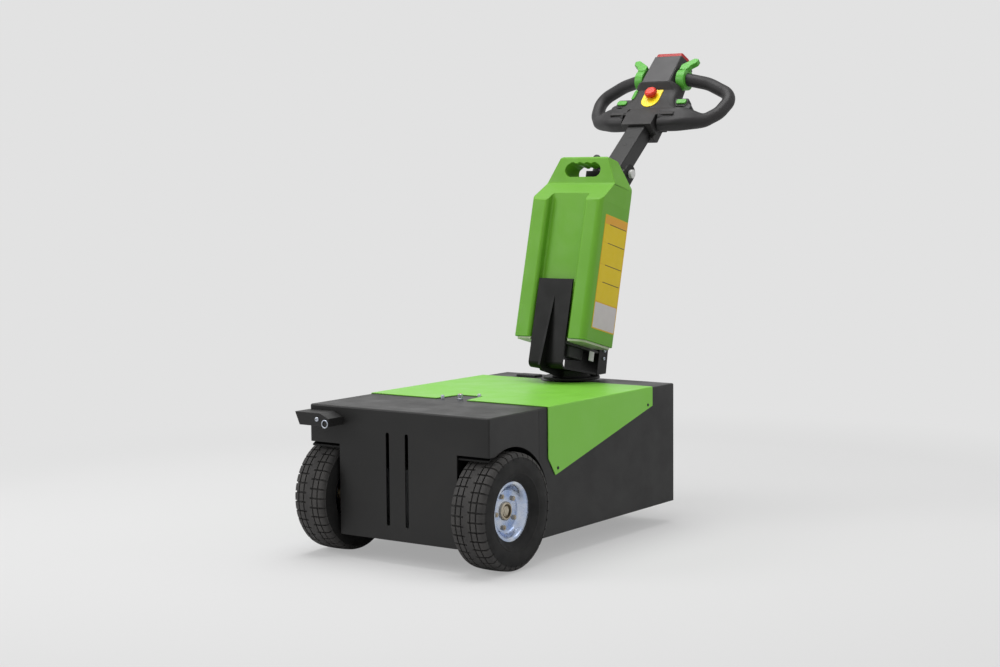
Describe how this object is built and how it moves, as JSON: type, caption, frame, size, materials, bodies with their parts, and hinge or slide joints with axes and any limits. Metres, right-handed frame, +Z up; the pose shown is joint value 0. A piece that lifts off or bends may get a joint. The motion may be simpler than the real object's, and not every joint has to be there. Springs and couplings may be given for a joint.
{
  "type": "electric tow tractor",
  "caption": "Pedestrian electric tow tractor with driven front wheels, swivelling rear castor, lift-out battery pack and hinged tiller with loop handle.",
  "frame": {"origin": "on the floor, at the middle of the overall width and length", "axes": "+Y from the hitch end to the tiller end, +X to the right seen from the hitch end, +Z up"},
  "size_m": [0.528, 1.2756, 1.1669],
  "materials": {
    "body_black": "fine-textured black powder coat",
    "frame_black": "satin black paint",
    "cover_green": "satin light green powder coat",
    "drive_grey": "dark cast housing",
    "tyre_rubber": "black block-tread rubber",
    "castor_rubber": "plain black rubber tread",
    "rim_zinc": "bright bluish zinc plating on pressed steel",
    "hub_brass": "dull yellow-passivated steel hub",
    "fork_zinc": "zinc plated steel",
    "dark_plastic": "black moulded plastic",
    "knob_grey": "light grey plastic",
    "case_green": "green rotomoulded plastic with a fine grain",
    "foot_grey": "pale grey plastic",
    "head_plastic": "dark grey textured plastic",
    "grip_plastic": "black soft-touch plastic",
    "button_green": "green moulded plastic",
    "stop_red": "red moulded plastic",
    "stop_yellow": "yellow plastic plate"
  },
  "bodies": {
    "chassis": {"chassis_frame": "frame_black", "hitch_hood": "body_black", "rear_shell": "body_black", "top_cover": "cover_green", "drive_unit": "drive_grey", "steering_head": "frame_black", "release_handle": "body_black", "socket_cover": "dark_plastic"},
    "drive_wheel_left": {"drive_tyre_left": "tyre_rubber", "drive_rim_left": "rim_zinc", "drive_hub_left": "hub_brass"},
    "drive_wheel_right": {"drive_tyre_right": "tyre_rubber", "drive_rim_right": "rim_zinc", "drive_hub_right": "hub_brass"},
    "steering": {"turntable": "fork_zinc", "castor_fork": "fork_zinc", "castor_axle": "fork_zinc", "cradle": "body_black", "battery_seat": "dark_plastic", "post": "body_black", "pivot_bolt": "fork_zinc", "tilt_knob": "knob_grey", "latch_knob": "dark_plastic"},
    "castor_wheel": {"castor_tyre": "castor_rubber", "castor_rim": "dark_plastic"},
    "battery": {"battery_case": "case_green", "battery_foot": "foot_grey"},
    "tiller": {"tiller_tube": "body_black", "head_upper": "head_plastic", "head_lower": "head_plastic", "grip_left": "grip_plastic", "grip_right": "grip_plastic", "throttle_left": "button_green", "throttle_right": "button_green", "side_button_left": "button_green", "side_button_right": "button_green", "horn_button": "button_green", "belly_button": "stop_red", "stop_plate": "stop_yellow", "stop_button": "stop_red"}
  },
  "joints": [
    {"name": "drive_wheel_left_spin", "type": "hinge", "parent": "chassis", "child": "drive_wheel_left", "pos_m": [-0.219, -0.50582, 0.13], "axis": [1, 0, 0], "continuous": true},
    {"name": "drive_wheel_right_spin", "type": "hinge", "parent": "chassis", "child": "drive_wheel_right", "pos_m": [0.219, -0.50582, 0.13], "axis": [1, 0, 0], "continuous": true},
    {"name": "steering_turn", "type": "hinge", "parent": "chassis", "child": "steering", "pos_m": [0, 0.11218, 0.346], "axis": [0, 0, 1], "range_deg": [-90, 90]},
    {"name": "castor_spin", "type": "hinge", "parent": "steering", "child": "castor_wheel", "pos_m": [0, 0.11218, 0.0625], "axis": [1, 0, 0], "continuous": true},
    {"name": "tiller_tilt", "type": "hinge", "parent": "steering", "child": "tiller", "pos_m": [0, 0.31218, 0.85], "axis": [1, 0, 0], "range_deg": [-30, 20]},
    {"name": "battery_lift", "type": "slide", "parent": "steering", "child": "battery", "axis": [0, 0.2453, 0.9694], "range_m": [0, 0.25]}
  ]
}
